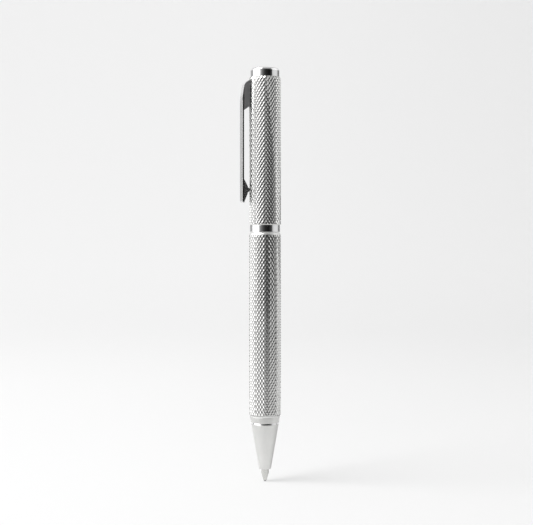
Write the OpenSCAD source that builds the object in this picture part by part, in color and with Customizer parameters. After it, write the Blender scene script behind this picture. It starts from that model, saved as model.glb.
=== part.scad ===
// Twist-action ballpoint pen with knurled metal barrels, standing on its writing point.
// Origin: the lowest point of the writing ball, on the pen's axis. +Z runs up to the end cap, -X points at the clip.
// Millimetres.

/* [Barrels] */
// Outside diameter of both barrels, over the crests of the knurl
barrel_d = 10.4; // [10.3:0.1:10.8]
// Length of the lower barrel
lower_barrel_h = 60.2; // [58:0.2:62]
// Length of the upper barrel
upper_barrel_h = 48.2; // [47:0.1:52]
// Height of the bevel at the nose end of the lower barrel
bevel_h = 0.9; // [0.6:0.1:1.2]

/* [Trim] */
// Diameter of the polished ring between the barrels
ring_d = 10; // [9.8:0.1:10.2]
// Height of the polished ring
ring_h = 2.3; // [2:0.1:3]
// Diameter of the polished end cap
cap_d = 9.54; // [9.4:0.02:9.8]
// Height of the end cap above the upper barrel
cap_h = 3.2; // [3.1:0.1:4]

/* [Nose] */
// How far the point stands out of the nose cone
point_out = 4.1; // [3.8:0.1:4.4]
// Height of the satin cone
cone_h = 14.7; // [14.5:0.1:16]
// Diameter of the cone at its mouth
mouth_d = 3.96; // [3.9:0.02:4.2]
// Diameter of the cone at the groove
cone_top_d = 9.12; // [9:0.02:9.2]
// Height of the satin collar above the groove
collar_h = 1.9; // [1.7:0.1:2.2]

/* [Clip] */
// Width of the clip
clip_w = 3.6; // [3.2:0.1:3.8]
// Length of the clip below its root
clip_h = 40.1; // [39:0.1:42]
// Distance from the pen's axis to the clip's outer face
clip_reach = 8.0; // [7.8:0.05:8.4]
// Thickness of the clip's sheet metal
clip_t = 0.6; // [0.5:0.05:0.6]

/* [Refill] */
// Length of the refill, ball to rear end
refill_h = 98.1; // [97.6:0.1:98.6]
// Diameter of the refill's tube
refill_d = 5.9; // [5.7:0.05:5.95]
// Diameter of the writing ball
ball_d = 1; // [0.8:0.1:1]

/* [Twist mechanism] */
// How far the refill travels
travel = 5.2; // [4.8:0.1:5.4]
// Half turn of the upper barrel that moves the refill through its travel
turn = 180; // [150:5:180]
// Diameter of the cross pin
pin_d = 1.2; // [1:0.05:1.2]

/* [Hidden] */
$fn = 96;

// Running clearance of a turning or sliding fit, on the radius
run = 0.05;

// Heights, from the ball upwards
mouth_z = point_out;
groove_z = mouth_z + cone_h;
groove_h = 0.5;
collar_z = groove_z + groove_h;
lower_z = collar_z + collar_h;
ring_z = lower_z + lower_barrel_h;
upper_z = ring_z + ring_h;
cap_z = upper_z + upper_barrel_h;

// Barrels
barrel_r = barrel_d / 2;
bevel_in = 0.4;
rim_h = 0.6;
lower_bore_r = 4.2;
upper_bore_r = 4.4;
liner_r = 4.1;
anchor_z = cap_z - 5.5;

// Nose
collar_bottom_r = cone_top_d / 2 + 0.06;
collar_top_r = collar_bottom_r + 0.24;
nose_shank_r = 3.6;
nose_shank_h = 8;
nose_bore_r = 3.1;
point_hole_r = 1.35;
neck_bore_r = 1.75;
neck_bore_z = mouth_z + 2.3;
spring_bore_r = 2.4;
spring_z = mouth_z + 5.9;
mouth_round = 0.35;

// Refill
refill_r = refill_d / 2;
neck_r = 1.6;
neck_z = 6.5;
shoulder_z = 16;
point_r = 1.25;
point_cone_z = 2.75;
lip_z = ball_d * 0.36;
ball_r = ball_d / 2;
ball_gap = 0.01;
plug_head_h = 6.1;

// Twist mechanism
journal_r = liner_r - run;
journal_h = 4.3;
stem_r = 3.5;
stem_bore_r = 3.1;
washer_h = 0.5;
cam_z = upper_z + journal_h + washer_h;
pin_z = refill_h + 9.9;
cam_top_z = pin_z + travel + 3.3;
stem_top_z = cam_top_z + 2;
pin_reach = 4.0;
pin_r = pin_d / 2;
slot_play = 0.1;

// Clip
clip_root_z = cap_z - 1.05;
clip_end_z = clip_root_z - clip_h;
clip_round = 0.12;
clip_edge = clip_reach - clip_t;
clip_gap = 0.05;
flange_in = barrel_r + 0.2;
tongue_w = 2.6;
tongue_t = 0.5;
tongue_z = clip_root_z - 0.75;

// Points of an arc of radius r about [x, y], in n steps
function arc(x, y, r, from, to, n = 8) =
    [for (i = [0:n]) let (a = from + (to - from) * i / n) [x + r * cos(a), y + r * sin(a)]];

// A stepped tube or rod turned about the pen's axis, from its [radius, height] outline
module turned(outline) {
    rotate_extrude() polygon(outline);
}

// A plain tube between two heights
module tube(inner, outer, z0, z1) {
    turned([[inner, z0], [outer, z0], [outer, z1], [inner, z1]]);
}

// Rings of a vee thread that stand out of radius r, from z0 upwards
module thread_rings(r, z0, count, pitch = 0.75, depth = 0.25) {
    for (i = [0:count - 1])
        let (z = z0 + i * pitch)
            turned([[r - 0.1, z], [r, z], [r + depth, z + pitch * 0.3], [r + depth, z + pitch * 0.4],
                    [r, z + pitch * 0.7], [r - 0.1, z + pitch * 0.7]]);
}

/* ---- lower half, which holds the nose and the coupler ---- */

module lower_barrel() {
    rim_z = ring_z - rim_h;
    color("silver") turned([
        [lower_bore_r, lower_z], [barrel_r - bevel_in, lower_z], [barrel_r, lower_z + bevel_h],
        [barrel_r, rim_z - 0.35], [ring_d / 2 + 0.05, rim_z], [ring_d / 2, rim_z],
        [ring_d / 2, ring_z], [lower_bore_r, ring_z],
    ]);
}

module nose_collar() {
    color("gainsboro") turned([
        [nose_shank_r + run, collar_z], [collar_bottom_r - 0.1, collar_z],
        [collar_bottom_r, collar_z + 0.1], [collar_top_r, lower_z],
        [lower_bore_r, lower_z], [lower_bore_r, lower_z + 2], [nose_shank_r + run, lower_z + 2],
    ]);
}

module nose_ring() {
    r = cone_top_d / 2;
    color("whitesmoke") turned([
        [nose_shank_r + run, groove_z], [r - 0.08, groove_z], [r - 0.18, collar_z],
        [nose_shank_r + run, collar_z],
    ]);
}

module nose_cone() {
    top_z = groove_z + nose_shank_h;
    color("gainsboro") {
        difference() {
            turned(concat(
                [[0, mouth_z]],
                arc(mouth_d / 2 - mouth_round, mouth_z + mouth_round, mouth_round, -90, -10, 6),
                [[cone_top_d / 2 - 0.04, groove_z - 0.1], [cone_top_d / 2 - 0.14, groove_z],
                 [nose_shank_r, groove_z], [nose_shank_r, top_z], [0, top_z]]
            ));
            turned([
                [0, mouth_z - 1], [point_hole_r + 0.15, mouth_z - 1], [point_hole_r + 0.15, mouth_z],
                [point_hole_r, mouth_z + 0.15], [point_hole_r, neck_bore_z], [neck_bore_r, neck_bore_z],
                [neck_bore_r, spring_z], [spring_bore_r, spring_z], [spring_bore_r, shoulder_z - 0.4],
                [nose_bore_r, shoulder_z - 0.4], [nose_bore_r, top_z + 1], [0, top_z + 1],
            ]);
        }
        thread_rings(nose_shank_r, lower_z + 2.4, 3);
    }
}

module nose_bush() {
    color("goldenrod") difference() {
        tube(nose_shank_r + run, lower_bore_r, lower_z + 2, lower_z + 8);
        thread_rings(nose_shank_r + run, lower_z + 2.4, 7, depth = 0.27);
    }
}

module coupler_bush() {
    color("goldenrod") difference() {
        tube(nose_shank_r + run, lower_bore_r, ring_z - 9, ring_z - 1);
        thread_rings(nose_shank_r + run, ring_z - 8, 8, depth = 0.27);
    }
}

// Threaded stub, flange under the centre ring, journal for the upper liner and slotted stem for the cross pin
module coupler() {
    flange_r = 4;
    groove = ring_h + 1.6;
    color("darkkhaki") difference() {
        union() {
            turned([
                [stem_bore_r, ring_z - 8.5], [nose_shank_r, ring_z - 8.5], [nose_shank_r, ring_z],
                [flange_r, ring_z], [flange_r, upper_z], [journal_r, upper_z],
                [journal_r, ring_z + groove], [journal_r - 0.52, ring_z + groove],
                [journal_r - 0.52, ring_z + groove + 0.6], [journal_r, ring_z + groove + 0.6],
                [journal_r, upper_z + journal_h], [stem_r, upper_z + journal_h],
                [stem_r, cam_top_z + run], [stem_r - 0.15, cam_top_z + run],
                [stem_r - 0.15, cam_top_z + run + 0.6], [stem_r, cam_top_z + run + 0.6],
                [stem_r, stem_top_z], [stem_bore_r, stem_top_z],
            ]);
            thread_rings(nose_shank_r, ring_z - 8, 8);
        }
        // straight slots that keep the cross pin from turning
        hull_free_slot(pin_d + 0.1, pin_z, pin_z + travel);
    }
}

// A straight slot through both walls of a tube, along Y, with round ends
module hull_free_slot(w, z0, z1) {
    for (z = [z0, z1])
        translate([0, 0, z]) rotate([90, 0, 0]) cylinder(d = w, h = 4 * stem_r, center = true);
    translate([-w / 2, -2 * stem_r, z0]) cube([w, 4 * stem_r, z1 - z0]);
}

module centre_ring() {
    edge = 0.15;
    color("whitesmoke") turned([
        [4, ring_z], [ring_d / 2 - edge, ring_z], [ring_d / 2, ring_z + edge],
        [ring_d / 2, upper_z - edge - run], [ring_d / 2 - edge, upper_z - run], [4, upper_z - run],
    ]);
}

module friction_ring() {
    section = 0.5;
    color("black") rotate_extrude()
        translate([liner_r - 0.03 - section / 2, ring_z + ring_h + 1.9]) circle(d = section, $fn = 24);
}

module thrust_washer() {
    color("ivory") tube(stem_r + run, journal_r - 0.05, cam_z - washer_h, cam_z - 0.02);
}

// Split ring in the stem's top groove, which keeps the cam sleeve on
module retaining_ring() {
    z = cam_top_z + run + 0.02;
    color("dimgray") difference() {
        tube(stem_r - 0.13, liner_r - 0.15, z, z + 0.55);
        translate([0, -0.6, z - 1]) cube([stem_r * 2, 1.2, 3]);
    }
}

// Coil of round wire, as rings of points that follow the helix
module refill_spring() {
    wire = 0.4;
    coil_r = spring_bore_r - 0.15 - wire / 2;
    turns = 6;
    steps = 20;
    sides = 6;
    z0 = spring_z + wire / 2 + 0.02;
    rise = shoulder_z - spring_z - wire - 0.04;
    n = turns * steps;
    // the first and last turns lie flat, as on a ground spring
    function climb(t) = let (u = (t - 0.1) / 0.8) rise * (u < 0 ? 0 : u > 1 ? 1 : u);
    points = [for (i = [0:n], k = [0:sides - 1])
        let (a = 360 * i / steps, b = 360 * k / sides, r = coil_r + wire / 2 * cos(b))
            [r * cos(a), r * sin(a), z0 + climb(i / n) + wire / 2 * sin(b)]];
    skin = [for (i = [0:n - 1], k = [0:sides - 1])
        let (a = i * sides, b = a + sides, m = (k + 1) % sides) [a + k, a + m, b + m, b + k]];
    ends = [[for (k = [sides - 1:-1:0]) k], [for (k = [0:sides - 1]) n * sides + k]];
    color("gray") polyhedron(points, concat(skin, ends));
}

/* ---- upper half, which turns ---- */

module upper_barrel() {
    color("silver") difference() {
        turned([
            [upper_bore_r, upper_z], [barrel_r - 0.15, upper_z], [barrel_r, upper_z + 0.2],
            [barrel_r, cap_z - 0.7], [barrel_r - 0.1, cap_z - 0.35], [barrel_r - 0.3, cap_z],
            [upper_bore_r, cap_z],
        ]);
        // window for the clip's tongue
        translate([-barrel_r - 1, -tongue_w / 2 - 0.15, tongue_z - 0.2])
            cube([2.5, tongue_w + 0.3, tongue_t + 0.4]);
    }
}

module upper_liner() {
    color("goldenrod") tube(liner_r, upper_bore_r, upper_z + 0.3, anchor_z);
}

// A slot that climbs round the cam sleeve as it turns, wide enough for the cross pin
module helical_slot(start) {
    half = (pin_r + slot_play) / cos(atan(travel / (PI * liner_r * turn / 180)));
    spare = 11;
    steps = 36;
    low = stem_r - 0.5;
    high = liner_r + 0.5;
    function section(i) =
        let (t = -spare + (turn + 2 * spare) * i / steps,
             a = start - t,
             z = pin_z + travel * t / turn)
            [for (p = [[low, -half], [high, -half], [high, half], [low, half]])
                [p[0] * cos(a), p[0] * sin(a), z + p[1]]];
    points = [for (i = [0:steps]) each section(i)];
    skin = [for (i = [0:steps - 1], k = [0:3])
        let (a = 4 * i, m = (k + 1) % 4) each [[a + k, a + 4 + k, a + m], [a + m, a + 4 + k, a + 4 + m]]];
    ends = [[0, 1, 2, 3], [4 * steps + 3, 4 * steps + 2, 4 * steps + 1, 4 * steps]];
    polyhedron(points, concat(skin, ends));
}

module cam_sleeve() {
    color("darkkhaki") difference() {
        tube(stem_r + run, liner_r, cam_z, cam_top_z);
        helical_slot(90);
        helical_slot(270);
    }
}

// Bush under the end cap that backs the clip's tongue
module clip_anchor() {
    thread_r = 2.75;
    color("goldenrod") difference() {
        tube(thread_r, upper_bore_r, anchor_z, cap_z - 0.3);
        thread_rings(thread_r, anchor_z + 0.4, 5, depth = 0.2);
        translate([-upper_bore_r - 1, -tongue_w / 2 - 0.25, tongue_z - 1.4])
            cube([2.1, tongue_w + 0.5, 4]);
    }
}

module end_cap() {
    r = cap_d / 2;
    round_r = 0.95;
    dome_h = 0.2;
    dome_r = ((r - round_r) * (r - round_r) + dome_h * dome_h) / (2 * dome_h);
    dome_a = asin((r - round_r) / dome_r);
    top_z = cap_z + cap_h;
    stub_r = 2.7;
    color("whitesmoke") union() {
        turned(concat(
            [[0, anchor_z + 1], [stub_r - 0.3, anchor_z + 1], [stub_r, anchor_z + 1.3],
             [stub_r, cap_z], [r - 0.1, cap_z], [r, cap_z + 0.1]],
            arc(r - round_r, top_z - dome_h - round_r, round_r, 0, 80, 8),
            arc(0, top_z - dome_r, dome_r, 90 - dome_a, 90, 6)
        ));
        thread_rings(stub_r, anchor_z + 1.9, 3, depth = 0.18);
    }
}

/* ---- clip ---- */

// Side view of the clip's outer face, from the root over the shoulder and down to the toe, set inwards by inset
function clip_face(inset) =
    let (bow_r = 30, bow_a = 12.5, bow_z = clip_root_z - 8.35,
         shoulder_r = 1.7, shoulder_a = 60, heel = 0.9,
         face = clip_reach - inset,
         bow_x = clip_reach - bow_r,
         cx = bow_x + (bow_r - shoulder_r) * cos(bow_a),
         cz = bow_z + (bow_r - shoulder_r) * sin(bow_a),
         sx = cx + (shoulder_r - inset) * cos(shoulder_a),
         sz = cz + (shoulder_r - inset) * sin(shoulder_a),
         end_z = clip_end_z + inset,
         heel_r = max(heel - inset, 0.1))
    concat(
        [[4.9, sz + (sx - 4.9) / tan(shoulder_a)]],
        arc(cx, cz, shoulder_r - inset, shoulder_a, bow_a, 6),
        arc(bow_x, bow_z, bow_r - inset, bow_a, 0, 8),
        arc(face - heel_r, end_z + heel_r, heel_r, 0, -75, 5)
    );

// Side view of the whole clip: two flanges reach inwards at the root and again at the toe
module clip_side() {
    polygon(concat(clip_face(0), [
        [clip_edge - 0.2, clip_end_z + 0.7],
        [6.35, clip_end_z + 2.7], [6.15, clip_end_z + 3.3], [6.15, clip_end_z + 5.4],
        [6.4, clip_end_z + 5.95], [6.95, clip_end_z + 7], [clip_edge, clip_end_z + 7.8],
        [clip_edge, clip_root_z - 9.95], [flange_in + 0.5, clip_root_z - 8.9],
        [flange_in, clip_root_z - 8.5], [flange_in, clip_root_z - 0.9], [4.9, clip_root_z - 0.6],
    ]));
}

// The hollow between the flanges, behind the clip's face
module clip_hollow() {
    polygon(concat(clip_face(clip_t), [[2, clip_end_z + clip_t], [2, clip_root_z - 1]]));
}

// Plan view of the clip: the two outer corners are round
module clip_plan() {
    h = clip_w / 2;
    x = clip_reach;
    polygon(concat(
        [[3, -h]], arc(x - clip_round, -h + clip_round, clip_round, -90, 0, 4),
        arc(x - clip_round, h - clip_round, clip_round, 0, 90, 4), [[3, h]]
    ));
}

// Front view of the clip: round corners at the foot
module clip_front() {
    h = clip_w / 2;
    r = clip_t;
    polygon(concat(
        [[-h, clip_root_z + 5]], arc(-h + r, clip_end_z + r, r, 180, 270, 5),
        arc(h - r, clip_end_z + r, r, 270, 360, 5), [[h, clip_root_z + 5]]
    ));
}

// A side view raised to a width, turned so that it stands on the -X side of the pen
module on_clip_side(w) {
    rotate([90, 0, 180]) linear_extrude(w, center = true) children();
}

module clip() {
    inner_w = clip_w - 2 * clip_t;
    nub_r = 0.75;
    nub_z = clip_end_z + 4.35;
    color("whitesmoke") {
        difference() {
            intersection() {
                on_clip_side(clip_w + 1) clip_side();
                rotate([0, 0, 180]) translate([0, 0, clip_end_z - 1])
                    linear_extrude(clip_h + 2) clip_plan();
                translate([-9, 0, 0]) rotate([90, 0, 90]) linear_extrude(7) clip_front();
            }
            on_clip_side(inner_w) clip_hollow();
            translate([0, 0, clip_end_z - 1]) cylinder(r = barrel_r + clip_gap, h = clip_h + 2);
        }
        // tongue and lip, which hook behind the barrel's wall
        translate([-5.9, -tongue_w / 2, tongue_z]) cube([2.3, tongue_w, tongue_t]);
        translate([-4.15, -tongue_w / 2, tongue_z - 1]) cube([0.55, tongue_w, tongue_t + 1]);
        // block between the flanges, with the round nub that presses on the cloth
        translate([-7.5, -inner_w / 2 - 0.1, clip_end_z + 3.3]) cube([1.3, inner_w + 0.2, 2.1]);
        translate([-barrel_r - clip_gap - nub_r, 0, nub_z]) rotate([90, 0, 0])
            cylinder(r = nub_r, h = 1.7, center = true);
    }
}

/* ---- refill and what moves with it ---- */

module plunger() {
    r = stem_bore_r - run;
    color("ivory") difference() {
        turned([
            [0, refill_h], [r - 0.3, refill_h], [r, refill_h + 0.3],
            [r, pin_z + 2.2], [r - 1, pin_z + 3.2], [0, pin_z + 3.2],
        ]);
        translate([0, 0, refill_h - 1]) cylinder(r = 1.6, h = 7);
        translate([0, 0, pin_z]) rotate([90, 0, 0]) cylinder(r = pin_r, h = 4 * r, center = true);
    }
}

module cam_pin() {
    color("lightsteelblue") translate([0, 0, pin_z]) rotate([90, 0, 0])
        cylinder(r = pin_r, h = 2 * pin_reach, center = true);
}

module refill_tube() {
    wall = 0.3;
    plug_z = refill_h - plug_head_h;
    color("silver") turned([
        [1, neck_z], [neck_r - 0.2, neck_z], [neck_r, neck_z + 0.2], [neck_r, shoulder_z],
        [spring_bore_r, shoulder_z], [refill_r, shoulder_z + 0.8], [refill_r, plug_z],
        [refill_r - wall, plug_z], [refill_r - wall, shoulder_z + 1.1], [1, shoulder_z + 0.5],
    ]);
}

// Plastic plug that closes the tube, with four flutes and a vent
module refill_plug() {
    plug_z = refill_h - plug_head_h;
    vent_r = 0.6;
    color("dodgerblue") difference() {
        turned([
            [vent_r, plug_z - 4], [refill_r - 0.5, plug_z - 4], [refill_r - 0.3, plug_z - 3.8],
            [refill_r - 0.3, plug_z], [refill_r, plug_z], [refill_r, refill_h - 0.4],
            [refill_r - 0.4, refill_h], [vent_r, refill_h],
        ]);
        for (a = [0:90:270])
            rotate([0, 0, a]) translate([refill_r - 0.6, -0.5, plug_z + 1]) cube([2, 1, plug_head_h]);
    }
}

module refill_point() {
    stub_r = 1;
    channel_r = 0.35;
    lip_r = sqrt(ball_r * ball_r - (ball_r - lip_z) * (ball_r - lip_z)) + ball_gap;
    color("lightgray") difference() {
        turned([
            [0, lip_z], [lip_r + 0.04, lip_z], [point_r - 0.08, point_cone_z - 0.12], [point_r, point_cone_z + 0.1],
            [point_r, neck_z], [stub_r, neck_z], [stub_r, neck_z + 3], [0, neck_z + 3],
        ]);
        translate([0, 0, ball_r]) sphere(r = ball_r + ball_gap);
        translate([0, 0, ball_r]) cylinder(r = channel_r, h = neck_z + 4);
    }
}

module writing_ball() {
    color("dimgray") translate([0, 0, ball_r]) sphere(d = ball_d);
}

lower_barrel();
nose_collar();
nose_ring();
nose_cone();
nose_bush();
coupler_bush();
coupler();
centre_ring();
friction_ring();
thrust_washer();
retaining_ring();
refill_spring();
upper_barrel();
upper_liner();
cam_sleeve();
clip_anchor();
end_cap();
clip();
plunger();
cam_pin();
refill_tube();
refill_plug();
refill_point();
writing_ball();
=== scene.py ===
"""Looks for the twist ballpoint pen: knurled barrels, spring, materials, light and camera."""

import math

import bmesh
import bpy
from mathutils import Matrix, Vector


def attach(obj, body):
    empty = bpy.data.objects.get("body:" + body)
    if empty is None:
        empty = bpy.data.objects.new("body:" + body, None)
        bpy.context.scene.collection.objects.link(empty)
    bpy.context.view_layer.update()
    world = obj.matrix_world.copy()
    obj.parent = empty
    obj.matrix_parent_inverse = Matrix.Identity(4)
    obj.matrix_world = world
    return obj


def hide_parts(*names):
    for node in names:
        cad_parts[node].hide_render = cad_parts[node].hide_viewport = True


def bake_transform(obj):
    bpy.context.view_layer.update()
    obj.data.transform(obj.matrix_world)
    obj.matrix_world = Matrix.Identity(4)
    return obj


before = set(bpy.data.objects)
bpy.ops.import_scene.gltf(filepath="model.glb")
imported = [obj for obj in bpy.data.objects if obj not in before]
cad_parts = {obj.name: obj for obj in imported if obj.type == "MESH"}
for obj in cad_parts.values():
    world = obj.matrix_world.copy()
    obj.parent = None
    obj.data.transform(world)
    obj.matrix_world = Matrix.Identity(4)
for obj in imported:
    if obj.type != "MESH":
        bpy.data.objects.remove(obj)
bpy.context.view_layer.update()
MM = 0.001

# heights above the bottom of the ball, in mm
CONE_TOP = 18.8
COLLAR_Z = 19.3
LOWER_Z = 21.2
RIM_Z = 80.8
RING_Z = 81.4
RING_TOP = 83.65
UPPER_Z = 83.7
CAP_Z = 131.9

# distances from the pen's axis, in mm
CREST_R = 5.195
NECK_R = 4.995
LOWER_BORE_R = 4.2
UPPER_BORE_R = 4.4
COLLAR_BORE_R = 3.65
SHANK_R = 3.6
CAP_SHANK_R = 2.7

# two stored coordinates count as the same when they are this close, in mm
SAME = 1e-4


# ---------------------------------------------------------------- materials


class Nodes:
    """A material's node tree, with short calls that make and join nodes."""

    def __init__(self, name):
        self.name = name
        self.material = bpy.data.materials.new(name)
        self.material.use_nodes = True
        self.tree = self.material.node_tree
        self.shader = self.tree.nodes["Principled BSDF"]

    def add(self, kind, **inputs):
        node = self.tree.nodes.new(kind)
        for key, value in inputs.items():
            self.put(node.inputs[key.replace("_", " ")], value)
        return node

    def put(self, socket, value):
        if isinstance(value, bpy.types.NodeSocket):
            self.tree.links.new(value, socket)
        else:
            socket.default_value = value

    def math(self, operation, a, b=0.0):
        node = self.tree.nodes.new("ShaderNodeMath")
        node.operation = operation
        self.put(node.inputs[0], a)
        self.put(node.inputs[1], b)
        return node.outputs[0]

    def ramp(self, value, low, high, out_low=0.0, out_high=1.0):
        node = self.add("ShaderNodeMapRange")
        keys = ("Value", "From Min", "From Max", "To Min", "To Max")
        for key, item in zip(keys, (value, low, high, out_low, out_high)):
            self.put(node.inputs[key], item)
        return node.outputs["Result"]

    def blend(self, factor, a, b):
        node = self.tree.nodes.new("ShaderNodeMix")
        node.data_type = "RGBA"
        self.put(node.inputs["Factor"], factor)
        self.put(node.inputs["A"], a)
        self.put(node.inputs["B"], b)
        return node.outputs["Result"]

    def place(self, scale=(1, 1, 1)):
        """The point in the part's own space, stretched by scale."""
        where = self.add("ShaderNodeTexCoord").outputs["Object"]
        mapping = self.add("ShaderNodeMapping", Vector=where, Scale=scale)
        return mapping.outputs["Vector"]

    def noise(self, scale, stretch=(1, 1, 1), detail=3.0):
        node = self.add("ShaderNodeTexNoise", Vector=self.place(stretch), Scale=scale, Detail=detail)
        return node.outputs["Fac"]

    def xyz(self, scale=1.0):
        """The point's three coordinates in the part's own space, times scale."""
        split = self.add("ShaderNodeSeparateXYZ", Vector=self.place((scale, scale, scale)))
        return split.outputs["X"], split.outputs["Y"], split.outputs["Z"]

    def length(self, x, y):
        """How far (x, y) is from the origin."""
        squares = self.math("ADD", self.math("MULTIPLY", x, x), self.math("MULTIPLY", y, y))
        return self.math("SQRT", squares)

    def bump(self, height, strength):
        node = self.add("ShaderNodeBump", Height=height, Strength=strength, Distance=0.05 * MM)
        self.put(self.shader.inputs["Normal"], node.outputs["Normal"])


def rgb(r, g, b):
    return (r, g, b, 1.0)


def bare_metal(name, light, dark, brushed=0.0, grain=9000, bump=0.02):
    """A metal whose roughness is still to set, and its grain. light and dark are the ends of a faint mottle.
    brushed stretches the grain round the axis."""
    n = Nodes(name)
    n.shader.inputs["Metallic"].default_value = 1.0
    mottle = n.noise(260, detail=4.0)
    n.put(n.shader.inputs["Base Color"], n.blend(n.ramp(mottle, 0.35, 0.65), dark, light))
    fine = n.noise(grain, (1, 1, 1 + brushed), detail=2.0)
    n.bump(fine, bump)
    return n, fine


def metal(name, light, dark, rough, spread, **grain):
    n, fine = bare_metal(name, light, dark, **grain)
    n.put(n.shader.inputs["Roughness"], n.ramp(fine, 0.3, 0.7, rough - spread, rough + spread))
    return n


def clip_metal():
    """Pressed sheet metal. The flanges are duller than the face, most of all at the root."""
    n, _ = bare_metal("clip_metal", rgb(0.8, 0.8, 0.8), rgb(0.77, 0.77, 0.77), grain=6000)
    x, _, z = n.xyz(1 / MM)
    flange = n.ramp(x, -7.5, -7.2)
    dull = n.math("MULTIPLY", flange, n.ramp(z, 98, 120, 0.08, 0.22))
    face = n.ramp(n.noise(6000), 0.3, 0.7, 0.12, 0.18)
    n.put(n.shader.inputs["Roughness"], n.math("ADD", face, dull))
    return n


def plastic(name, light, dark, rough, bump=0.03):
    n = Nodes(name)
    cloud = n.noise(500, detail=4.0)
    n.put(n.shader.inputs["Base Color"], n.blend(cloud, dark, light))
    n.put(n.shader.inputs["Roughness"], n.ramp(n.noise(3000), 0.3, 0.7, rough - 0.06, rough + 0.06))
    n.bump(n.noise(7000), bump)
    return n


def knurled():
    """Plated knurl: crests worn smooth, grooves duller and painted darker as painted shade in the recesses,
    and the plain ends satin.
    """
    n = Nodes("knurled_metal")
    n.shader.inputs["Metallic"].default_value = 1.0
    x, y, z = n.xyz(1 / MM)
    joint_from, joint_to = 80.45, 83.9
    middle = (joint_from + joint_to) / 2
    off_middle = n.math("ABSOLUTE", n.math("SUBTRACT", z, middle))
    joint = n.math("LESS_THAN", off_middle, joint_to - middle)
    plain_end = n.math("MAXIMUM", joint, n.math("LESS_THAN", z, LOWER_Z + 0.4))
    height = n.math("MAXIMUM", n.ramp(n.length(x, y), 5.07, 5.12), plain_end)
    knurl_mottle = n.ramp(n.noise(420, detail=4.0), 0.35, 0.7)
    # painted shade: the groove floors take a darker base colour than the crests, for the shade that falls in
    # the grooves
    groove = n.blend(knurl_mottle, rgb(0.52, 0.52, 0.51), rgb(0.44, 0.44, 0.43))
    crest = n.blend(knurl_mottle, rgb(0.86, 0.86, 0.85), rgb(0.82, 0.82, 0.81))
    n.put(n.shader.inputs["Base Color"], n.blend(height, groove, crest))
    grain = n.noise(16000, detail=2.0)
    worn = n.ramp(height, 0.0, 1.0, 0.06, 0.035)
    rough = n.math("ADD", worn, n.ramp(grain, 0.3, 0.7, -0.012, 0.012))
    rough = n.math("ADD", rough, n.math("MULTIPLY", plain_end, 0.4))
    n.put(n.shader.inputs["Roughness"], rough)
    n.bump(grain, 0.004)
    return n


KNURL = knurled()
POLISHED = metal(
    "polished_metal", rgb(0.9, 0.9, 0.9), rgb(0.86, 0.86, 0.865), 0.045, 0.015,
    brushed=30, grain=2500, bump=0.01,
)
SATIN = metal(
    "satin_metal", rgb(0.77, 0.77, 0.755), rgb(0.74, 0.74, 0.725), 0.38, 0.05,
    brushed=25, grain=3500, bump=0.05,
)
CLIP = clip_metal()
BRASS = metal(
    "brass", rgb(0.85, 0.66, 0.32), rgb(0.72, 0.53, 0.24), 0.28, 0.07,
    brushed=40, grain=3000, bump=0.06,
)
NICKEL = metal(
    "mechanism_metal", rgb(0.78, 0.7, 0.55), rgb(0.68, 0.6, 0.45), 0.25, 0.06,
    brushed=30, grain=3000, bump=0.05,
)
WIRE = metal("spring_steel", rgb(0.6, 0.6, 0.61), rgb(0.5, 0.5, 0.52), 0.22, 0.05)
TUBE = metal(
    "refill_metal", rgb(0.74, 0.74, 0.74), rgb(0.68, 0.68, 0.69), 0.3, 0.05,
    brushed=30, grain=3000, bump=0.04,
)
POINT = metal(
    "point_metal", rgb(0.71, 0.71, 0.69), rgb(0.62, 0.62, 0.6), 0.2, 0.05,
    brushed=30, grain=6000, bump=0.03,
)
CARBIDE = metal("carbide", rgb(0.34, 0.34, 0.34), rgb(0.28, 0.28, 0.28), 0.3, 0.05)
RUBBER = plastic("rubber", rgb(0.035, 0.035, 0.035), rgb(0.02, 0.02, 0.02), 0.55, 0.08)
ACETAL = plastic("white_plastic", rgb(0.84, 0.83, 0.79), rgb(0.78, 0.77, 0.72), 0.4)
PLUG = plastic("refill_plastic", rgb(0.05, 0.12, 0.42), rgb(0.04, 0.09, 0.34), 0.3)

NODE_LOOKS = {
    "nose_collar": SATIN, "nose_cone": SATIN, "nose_ring": POLISHED, "centre_ring": POLISHED,
    "end_cap": POLISHED, "clip": CLIP, "nose_bush": BRASS, "coupler_bush": BRASS, "upper_liner": BRASS,
    "clip_anchor": BRASS, "coupler": NICKEL, "cam_sleeve": NICKEL, "retaining_ring": WIRE, "cam_pin": WIRE,
    "friction_ring": RUBBER, "thrust_washer": ACETAL, "plunger": ACETAL, "refill_tube": TUBE,
    "refill_plug": PLUG, "refill_point": POINT, "writing_ball": CARBIDE,
}
for node_name, look in NODE_LOOKS.items():
    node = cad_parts[node_name]
    node.data.materials.clear()
    node.data.materials.append(look.material)

# the clip's pressed edges are a little round
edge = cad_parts["clip"].modifiers.new("pressed_edge", "BEVEL")
edge.width = 0.04 * MM
edge.segments = 2
edge.limit_method = "ANGLE"
edge.angle_limit = math.radians(40)


# ---------------------------------------------------------------- meshes


def piece(name, mesh, look):
    mesh.materials.append(look.material)
    obj = bpy.data.objects.new(name, mesh)
    bpy.context.collection.objects.link(obj)
    return obj


def finish_mesh(name, bm, sharp):
    """The mesh, shaded smooth but for edges that turn by more than sharp degrees."""
    bmesh.ops.recalc_face_normals(bm, faces=bm.faces)
    mesh = bpy.data.meshes.new(name)
    bm.to_mesh(mesh)
    bm.free()
    mesh.shade_smooth()
    mesh.set_sharp_from_angle(angle=math.radians(sharp))
    return mesh


def ring(bm, r, z, n):
    """The n points of a circle about the pen's axis, or its one point there where r is 0."""
    angles = [2 * math.pi * k / n for k in range(n)]
    around = [(r * math.cos(a), r * math.sin(a), z) for a in angles]
    return [bm.verts.new(co) for co in (around if r else around[:1])]


# the rings inside a diamond, as (scale, height from the groove's floor to the crest as a share)
DIAMOND = ((0.96, 0.0), (0.14, 1.0))
AROUND = 32
WAYS = ((1, 0), (0, 1), (-1, 0), (0, -1))


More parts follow.
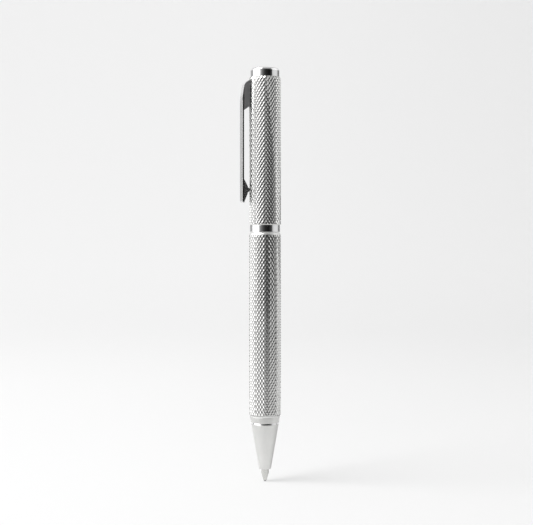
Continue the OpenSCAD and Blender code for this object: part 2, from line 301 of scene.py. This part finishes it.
def in_window(face, half, low, high):
    """Whether a face's middle is on the clip's side, at most half off its centre, and between two heights."""
    x, y, z = face.calc_center_median()
    return x < -4 and abs(y) < half and low < z < high


def along(table, z):
    """The value at z in a table of (z, value), straight between its rows."""
    for (za, a), (zb, b) in zip(table, table[1:]):
        if z <= zb:
            return a + (b - a) * max(0.0, min(1.0, (z - za) / (zb - za)))
    return table[-1][1]


def knurl(name, z0, z1, pitch, depth, envelope, fade, bottom, top, lean=0.0, window=None):
    """A tube whose outside is cut into staggered diamonds, in mm. envelope is [(z, crest radius)] and fade is
    [(z, share of the depth)]. bottom and top are the (radius, z) steps that follow the knurl at each end.
    lean draws each diamond's crest out along one of the two grooves, as when one is cut deeper than the
    other. window is (half width, low, high) of a hole for the clip."""
    bm = bmesh.new()
    crest = max(r for _, r in envelope)
    half_turn = math.pi / AROUND
    half_pitch = pitch / 2

    def point(i, j, share):
        r = crest - depth * (1 - share)
        a = i * half_turn
        return bm.verts.new((r * math.cos(a), r * math.sin(a), z0 + j * half_pitch))

    corners = {}

    def corner(i, j):
        key = (i % (2 * AROUND), j)
        if key not in corners:
            corners[key] = point(i, j, 0.0)
        return corners[key]

    rows = math.ceil((z1 - z0) / half_pitch) + 1
    for j in range(-1, rows + 1):
        for i in range(2 * AROUND):
            if (i + j) % 2 == 0:
                continue
            outer = [corner(i + u, j + v) for u, v in WAYS]
            for scale, share in DIAMOND:
                inner = []
                for u, v in WAYS:
                    drawn = (u + v) * (lean * share)
                    inner.append(point(i + u * scale + drawn, j + v * scale + drawn, share))
                for k in range(4):
                    bm.faces.new((outer[k], outer[(k + 1) % 4], inner[(k + 1) % 4], inner[k]))
                outer = inner
            bm.faces.new(outer)

    def cut(co, no, clear=False, geom=None):
        everything = bm.verts[:] + bm.edges[:] + bm.faces[:]
        bmesh.ops.bisect_plane(bm, geom=geom or everything, plane_co=co, plane_no=no, clear_outer=clear)

    up = (0, 0, 1)
    across = (0, 1, 0)
    cut((0, 0, z0), (0, 0, -1), clear=True)
    cut((0, 0, z1), up, clear=True)
    for z, _ in envelope[1:-1]:
        cut((0, 0, z), up)
    if window:
        half, low, high = window
        sides = (((0, half, 0), across), ((0, -half, 0), across), ((0, 0, low), up), ((0, 0, high), up))
        for co, no in sides:
            near = [f for f in bm.faces if in_window(f, half + 1.5, low - 2, high + 2)]
            verts = list({v for f in near for v in f.verts})
            edges = list({e for f in near for e in f.edges})
            cut(co, no, geom=verts + edges + near)

    for v in bm.verts:
        r = math.hypot(v.co.x, v.co.y)
        new = along(envelope, v.co.z) - (crest - r) * along(fade, v.co.z)
        v.co.x *= new / r
        v.co.y *= new / r

    def on_ring(v, radius, z):
        return abs(v.co.z - z) < SAME and abs(math.hypot(v.co.x, v.co.y) - radius) < SAME

    def wall(loop, steps):
        """Carries an open loop of edges on through rings at the (radius, z) steps."""
        for radius, z in steps:
            grown = bmesh.ops.extrude_edge_only(bm, edges=loop)["geom"]
            for v in (g for g in grown if isinstance(g, bmesh.types.BMVert)):
                r = math.hypot(v.co.x, v.co.y)
                v.co = (v.co.x * radius / r, v.co.y * radius / r, z)
            loop = [g for g in grown if isinstance(g, bmesh.types.BMEdge) and g.is_boundary]
            loop = [e for e in loop if all(on_ring(v, radius, z) for v in e.verts)]

    def end(z):
        return [e for e in bm.edges if e.is_boundary and all(abs(v.co.z - z) < SAME for v in e.verts)]

    low_end, high_end = end(z0), end(z1)
    wall(low_end, bottom)
    wall(high_end, top)
    if window:
        gone = [f for f in bm.faces if in_window(f, half, low, high)]
        hole = {e for f in gone for e in f.edges}
        bmesh.ops.delete(bm, geom=gone, context="FACES")
        bore = min(r for r, _ in top)
        open_edges = [e for e in hole if e.is_valid and e.is_boundary]
        lip = [e for e in open_edges if math.hypot(*e.verts[0].co.xy) > bore + 0.3]
        grown = bmesh.ops.extrude_edge_only(bm, edges=lip)["geom"]
        for v in (g for g in grown if isinstance(g, bmesh.types.BMVert)):
            v.co.x = -math.sqrt(bore * bore - v.co.y * v.co.y)

    bmesh.ops.scale(bm, vec=(MM, MM, MM), verts=bm.verts)
    return piece(name, finish_mesh(name, bm, 14), KNURL)


lower = knurl(
    "knurled_lower_barrel", LOWER_Z, RIM_Z, 1.7, 0.118,
    [(LOWER_Z, 4.79), (22.1, CREST_R), (80.45, CREST_R), (RIM_Z, 5.045)],
    [(LOWER_Z, 0.35), (22.2, 1.0), (80.3, 1.0), (RIM_Z, 0.25)],
    bottom=[(LOWER_BORE_R, LOWER_Z)],
    top=[
        (NECK_R, RIM_Z), (NECK_R, 80.85), (4.7, 81.345), (4.66, 81.395),
        (LOWER_BORE_R, 81.395), (LOWER_BORE_R, LOWER_Z),
    ],
)
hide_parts("lower_barrel")
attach(lower, "lower_body")

upper = knurl(
    "knurled_upper_barrel", UPPER_Z, CAP_Z, 1.633, 0.11,
    [(UPPER_Z, 5.045), (83.9, CREST_R), (131.2, CREST_R), (131.55, 5.095), (CAP_Z, 4.895)],
    [(UPPER_Z, 0.7), (84.0, 1.0), (CAP_Z, 1.0)],
    bottom=[(UPPER_BORE_R, UPPER_Z)],
    top=[(UPPER_BORE_R, CAP_Z), (UPPER_BORE_R, UPPER_Z)],
    lean=0.16,
    window=(1.45, 129.9, 130.8),
)
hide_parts("upper_barrel")
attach(upper, "upper_body")


def held(outline):
    """The outline with a point close to each end of a long straight, which keeps its reflections straight."""
    points = []
    for a, b in zip(outline, outline[1:] + outline[:1]):
        points.append(a)
        length = math.dist(a, b)
        if length > 0.3 and a[0] + b[0] > 0:
            inset = 0.04 / length
            points += [tuple(p + (q - p) * t for p, q in zip(a, b)) for t in (inset, 1 - inset)]
    return points


def turned(name, look, body, node, outline):
    """A part turned about the pen's axis from its closed (radius, height) outline, in mm, for a CAD node."""
    bm = bmesh.new()
    n = 192
    rings = [ring(bm, r, z, n) for r, z in held(outline)]
    for a, b in zip(rings, rings[1:] + rings[:1]):
        for k in range(n):
            m = (k + 1) % n
            if len(a) > 1 and len(b) > 1:
                bm.faces.new((a[k], a[m], b[m], b[k]))
            elif len(a) > 1:
                bm.faces.new((a[k], a[m], b[0]))
            elif len(b) > 1:
                bm.faces.new((a[0], b[m], b[k]))
    bmesh.ops.scale(bm, vec=(MM, MM, MM), verts=bm.verts)
    obj = piece(name, finish_mesh(name, bm, 30), look)
    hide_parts(node)
    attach(obj, body)


def arc(r, z, radius, start, end, n):
    """n + 1 outline points on an arc about (r, z), between two angles in degrees."""
    angles = [math.radians(start + (end - start) * k / n) for k in range(n + 1)]
    return [(r + radius * math.cos(a), z + radius * math.sin(a)) for a in angles]


def thread(r, z, height):
    """Outline points of three stacked vee rings, which stand for a thread."""
    tooth = ((0, 0), (height, 0.225), (height, 0.3), (0, 0.525))
    return [(r + out, z + 0.75 * k + up) for k in range(3) for out, up in tooth]


turned(
    "turned_end_cap", POLISHED, "upper_body", "end_cap",
    [(0.0, 127.4), (2.4, 127.4), (CAP_SHANK_R, 127.7)]
    + thread(CAP_SHANK_R, 128.3, 0.18)
    + [(CAP_SHANK_R, CAP_Z), (4.67, CAP_Z)]
    + arc(4.67, 132.0, 0.1, -80, 0, 3)
    + arc(3.82, 133.95, 0.95, 0, 84, 16)
    + [(3.82 * k / 10, 134.9 + 0.2 * (1 - (k / 10) ** 2)) for k in range(9, -1, -1)],
)
turned(
    "turned_centre_ring", POLISHED, "lower_body", "centre_ring",
    [(4.0, RING_Z)]
    + arc(4.93, 81.47, 0.07, -90, 0, 4)
    + arc(4.93, 83.58, 0.07, 0, 90, 4)
    + [(4.0, RING_TOP)],
)
turned(
    "turned_nose_ring", POLISHED, "lower_body", "nose_ring",
    [(COLLAR_BORE_R, CONE_TOP), (4.45, CONE_TOP), (4.48, 18.83)]
    + [(4.4, 19.27), (4.37, COLLAR_Z), (COLLAR_BORE_R, COLLAR_Z)],
)
turned(
    "turned_nose_collar", SATIN, "lower_body", "nose_collar",
    [(COLLAR_BORE_R, COLLAR_Z)]
    + arc(4.52, 19.4, 0.1, -90, -5, 5)
    + [(4.84, 21.12)]
    + arc(4.8, 21.14, 0.06, 0, 90, 4)
    + [(LOWER_BORE_R, LOWER_Z), (LOWER_BORE_R, 23.2), (COLLAR_BORE_R, 23.2)],
)
turned(
    "turned_nose_cone", SATIN, "lower_body", "nose_cone",
    [(1.35, 4.25), (1.5, 4.1)]
    + arc(1.63, 4.45, 0.35, -90, -10, 8)
    + [(4.46, 18.7), (4.43, 18.76), (4.36, CONE_TOP), (SHANK_R, CONE_TOP)]
    + thread(SHANK_R, 23.6, 0.25)
    + [(SHANK_R, 26.8), (3.1, 26.8), (3.1, 15.6), (2.4, 15.6)]
    + [(2.4, 10.0), (1.75, 10.0), (1.75, 6.4), (1.35, 6.4)],
)


def coil(name, look, low, high, coil_r, wire_r, turns):
    """A compression spring round the axis, in mm. A tenth of its wire lies flat at each end."""
    bm = bmesh.new()
    steps, sides = 28, 10
    n = turns * steps
    loops = []
    for i in range(n + 1):
        rise = min(1.0, max(0.0, (i / n - 0.1) / 0.8))
        a = 2 * math.pi * i / steps
        z = low + wire_r + (high - low - 2 * wire_r) * rise
        loop = []
        for k in range(sides):
            b = 2 * math.pi * k / sides
            r = coil_r + wire_r * math.cos(b)
            loop.append(bm.verts.new((r * math.cos(a), r * math.sin(a), z + wire_r * math.sin(b))))
        loops.append(loop)
    for a, b in zip(loops, loops[1:]):
        for k in range(sides):
            bm.faces.new((a[k], a[(k + 1) % sides], b[(k + 1) % sides], b[k]))
    bm.faces.new(loops[0][::-1])
    bm.faces.new(loops[-1])
    bmesh.ops.scale(bm, vec=(MM, MM, MM), verts=bm.verts)
    return piece(name, finish_mesh(name, bm, 40), look)


spring = coil("refill_spring_coil", WIRE, 10.03, 15.96, 2.05, 0.2, 6)
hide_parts("refill_spring")
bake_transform(spring)


# ---------------------------------------------------------------- studio


# the camera's direction from the pen, its height and its distance, in metres
VIEW = math.radians(-13.7)
EYE = 0.0791
AWAY = 0.427

# the photograph's frame is 533 pixels wide, and its focal length is 1307 of them
FRAME_WIDTH = 533
FOCAL = 1307
SENSOR = 36.0

BLACK = rgb(0, 0, 0)
WHITE = rgb(1, 1, 1)


def spot(turn, distance, z):
    """The point at a distance from the pen, turned by degrees from the camera towards the picture's right."""
    a = VIEW + math.radians(turn)
    return Vector((math.sin(a) * distance, -math.cos(a) * distance, z))


def plain(name, colour, glow):
    n = Nodes(name)
    n.shader.inputs["Base Color"].default_value = colour
    n.shader.inputs["Roughness"].default_value = 1.0
    n.shader.inputs["Specular IOR Level"].default_value = 0.0
    n.shader.inputs["Emission Color"].default_value = WHITE
    n.shader.inputs["Emission Strength"].default_value = glow
    return n


def paper():
    """White paper that glows a little, more far from the pen and less towards the picture's right."""
    n = plain("studio_paper", rgb(0.5, 0.5, 0.5), 1.0)
    x, y, _ = n.xyz()
    right = n.math("ADD", n.math("MULTIPLY", x, math.cos(VIEW)), n.math("MULTIPLY", y, math.sin(VIEW)))
    fall = n.ramp(right, -0.05, 0.4, 0.0, 0.06)
    glow = n.math("SUBTRACT", n.ramp(n.length(x, y), 0.15, 1.0, 0.345, 0.4), fall)
    n.put(n.shader.inputs["Emission Strength"], glow)
    return n


def sweep():
    """The seamless table and wall, one surface turned about the pen."""
    table_r, bend, sides = 0.7, 0.9, 96
    profile = [(r, 0.0) for r in (0.0, 0.05, 0.12, 0.25, 0.45, table_r)]
    for k in range(1, 13):
        a = math.radians(90 * k / 12)
        profile.append((table_r + bend * math.sin(a), bend * (1 - math.cos(a))))
    profile.append((1.6, 2.2))
    bm = bmesh.new()
    rings = [ring(bm, r, z, sides) for r, z in profile]
    for a, b in zip(rings, rings[1:]):
        for k in range(sides):
            m = (k + 1) % sides
            bm.faces.new((a[0], b[k], b[m]) if len(a) == 1 else (a[k], b[k], b[m], a[m]))
    return piece("studio_sweep", finish_mesh("studio_sweep", bm, 60), paper())


def card(name, look, turn_a, turn_b, near, far, z0, z1):
    """A card bent round the pen from one angle to another. One edge is at the distance near and the height
    z0, the other at far and z1. Only reflections show it."""
    bm = bmesh.new()
    steps = 16
    low, high = [], []
    for k in range(steps + 1):
        turn = turn_a + (turn_b - turn_a) * k / steps
        low.append(bm.verts.new(spot(turn, near, z0)))
        high.append(bm.verts.new(spot(turn, far, z1)))
    for k in range(steps):
        bm.faces.new((low[k], low[k + 1], high[k + 1], high[k]))
    obj = piece(name, finish_mesh(name, bm, 60), look)
    obj.visible_camera = False
    obj.visible_diffuse = False
    obj.visible_shadow = False
    obj.visible_transmission = False


sweep()


def graded(name, turn_a, turn_b, stops, lift=None):
    """A card's material, which glows by angle. stops is [(turn, brightness)]. lift is (distance, distance,
    glow): the glow that the card has up to the first distance from the pen, gone by the second."""
    n = Nodes(name)
    n.shader.inputs["Base Color"].default_value = BLACK
    n.shader.inputs["Specular IOR Level"].default_value = 0.0
    x, y, _ = n.xyz()
    angle = n.math("ARCTAN2", x, n.math("MULTIPLY", y, -1.0))
    a, b = VIEW + math.radians(turn_a), VIEW + math.radians(turn_b)
    ramp = n.tree.nodes.new("ShaderNodeValToRGB")
    n.put(ramp.inputs["Fac"], n.ramp(angle, a, b))
    elements = ramp.color_ramp.elements
    while len(elements) < len(stops):
        elements.new(0.5)
    for e, (turn, level) in zip(elements, stops):
        e.position = (turn - turn_a) / (turn_b - turn_a)
        e.color = rgb(level, level, level)
    glow = ramp.outputs["Color"]
    if lift:
        first, second, level = lift
        glow = n.blend(n.ramp(n.length(x, y), first, second), rgb(level, level, level), glow)
    n.put(n.shader.inputs["Emission Color"], glow)
    n.shader.inputs["Emission Strength"].default_value = 1.0
    return n


# distances and heights of the cards, in metres
FRONT_AWAY = 0.8
RIGHT_AWAY = 0.88
GAP_AWAY = 0.9
TABLE_UP = 0.0008
FOOT_TOP = 0.16
LIFT_TOP = 0.222
BAND_TOP = 0.25
RISE_TOP = 0.62

front_low = graded(
    "studio_front_low", -46, 58,
    [(-46, 0.6), (-38, 0.34), (-30, 0.2), (-15, 0.08), (0, 0.024), (26, 0.007), (48, 0.045), (58, 0.2)],
)
card("studio_front_foot", front_low, -46, 58, FRONT_AWAY, FRONT_AWAY, 0.0, FOOT_TOP)
front = graded(
    "studio_front", -40, 58,
    [(-40, 0.7), (-31, 0.42), (-23, 0.2), (-8, 0.06), (6, 0.02), (36, 0.005), (54, 0.04), (58, 0.1)],
)
card("studio_front_card", front, -40, 58, FRONT_AWAY, FRONT_AWAY, LIFT_TOP, BAND_TOP)
rise = graded(
    "studio_rise", -42, 58,
    [(-42, 0.8), (-34, 0.55), (-24, 0.26), (-8, 0.1), (10, 0.05), (35, 0.04), (50, 0.16), (58, 0.4)],
)
card("studio_front_lift", rise, -42, 58, FRONT_AWAY, FRONT_AWAY, FOOT_TOP, LIFT_TOP)
card("studio_front_rise", rise, -42, 58, FRONT_AWAY, FRONT_AWAY, BAND_TOP, RISE_TOP)
high = plain("studio_high", BLACK, 0.25)
card("studio_front_top", high, -30, 58, FRONT_AWAY, 0.55, RISE_TOP, 0.85)
table = graded(
    "studio_table", -105, 68,
    [(-105, 0.9), (-80, 0.8), (-60, 0.6), (-45, 0.4), (-30, 0.16)]
    + [(-10, 0.035), (15, 0.012), (40, 0.04), (68, 0.11)],
    (0.045, 0.16, 0.78),
)
card("studio_front_table", table, -105, 68, 0.045, FRONT_AWAY, TABLE_UP, TABLE_UP)
shade = graded("studio_shade", 68, 122, [(68, 0.12), (85, 0.2), (122, 0.4)])
card("studio_right_table", shade, 68, 122, 0.28, RIGHT_AWAY, TABLE_UP, TABLE_UP)
# painted shadow: a darker card on the table beside the pen, seen only in reflections, stands for the pen's
# shadow falling to the right
near = graded("studio_near_painted_shadow", 65, 160, [(65, 0.9), (100, 0.72), (160, 0.4)])
card("studio_near_table", near, 65, 160, 0.004, 0.085, 0.0007, 0.0007)
side = graded("studio_side", 58, 117, [(58, 0.55), (75, 0.76), (100, 0.78), (117, 0.6)])
card("studio_right_card", side, 58, 117, RIGHT_AWAY, RIGHT_AWAY, 0.0, 0.9)
card("studio_right_top", plain("studio_glow", BLACK, 1.15), 62, 118, 0.78, RIGHT_AWAY, 0.27, 1.0)
card("studio_left_gap", plain("studio_grey", BLACK, 0.45), -154, -106, GAP_AWAY, GAP_AWAY, 0.05, 0.27)
card("studio_right_gap", plain("studio_dim", BLACK, 0.2), 117, 147, GAP_AWAY, GAP_AWAY, 0.05, 0.27)


def softbox(name, turn, distance, z, aim_z, width, height, watts):
    light = bpy.data.lights.new(name, "AREA")
    light.shape = "RECTANGLE"
    light.size, light.size_y = width, height
    light.energy = watts
    obj = bpy.data.objects.new(name, light)
    bpy.context.collection.objects.link(obj)
    obj.location = spot(turn, distance, z)
    aim = Vector((0, 0, aim_z)) - obj.location
    obj.rotation_euler = aim.to_track_quat("-Z", "Y").to_euler()
    obj.visible_camera = False


softbox("studio_left", -73, 0.9, 0.45, 0.45, 1.2, 0.9, 3.6)
softbox("studio_key", -70, 0.75, 1.0, 0.05, 0.8, 0.8, 9.5)

world = bpy.data.worlds.new("studio_air")
bpy.context.scene.world = world
world.use_nodes = True
air = world.node_tree.nodes["Background"]
air.inputs["Color"].default_value = WHITE
air.inputs["Strength"].default_value = 0.6

camera_data = bpy.data.cameras.new("camera")
camera_data.sensor_width = SENSOR
camera_data.lens = FOCAL / FRAME_WIDTH * SENSOR
camera_data.shift_x = 0.0028
camera_data.shift_y = -0.0441
camera_data.clip_start = 0.01
camera_data.clip_end = 50
camera = bpy.data.objects.new("camera", camera_data)
bpy.context.collection.objects.link(camera)
camera.location = spot(0, AWAY, EYE)
camera.rotation_euler = (math.radians(90), 0, VIEW)
bpy.context.scene.camera = camera

scene = bpy.context.scene
scene.view_settings.view_transform = "Standard"
scene.view_settings.look = "None"
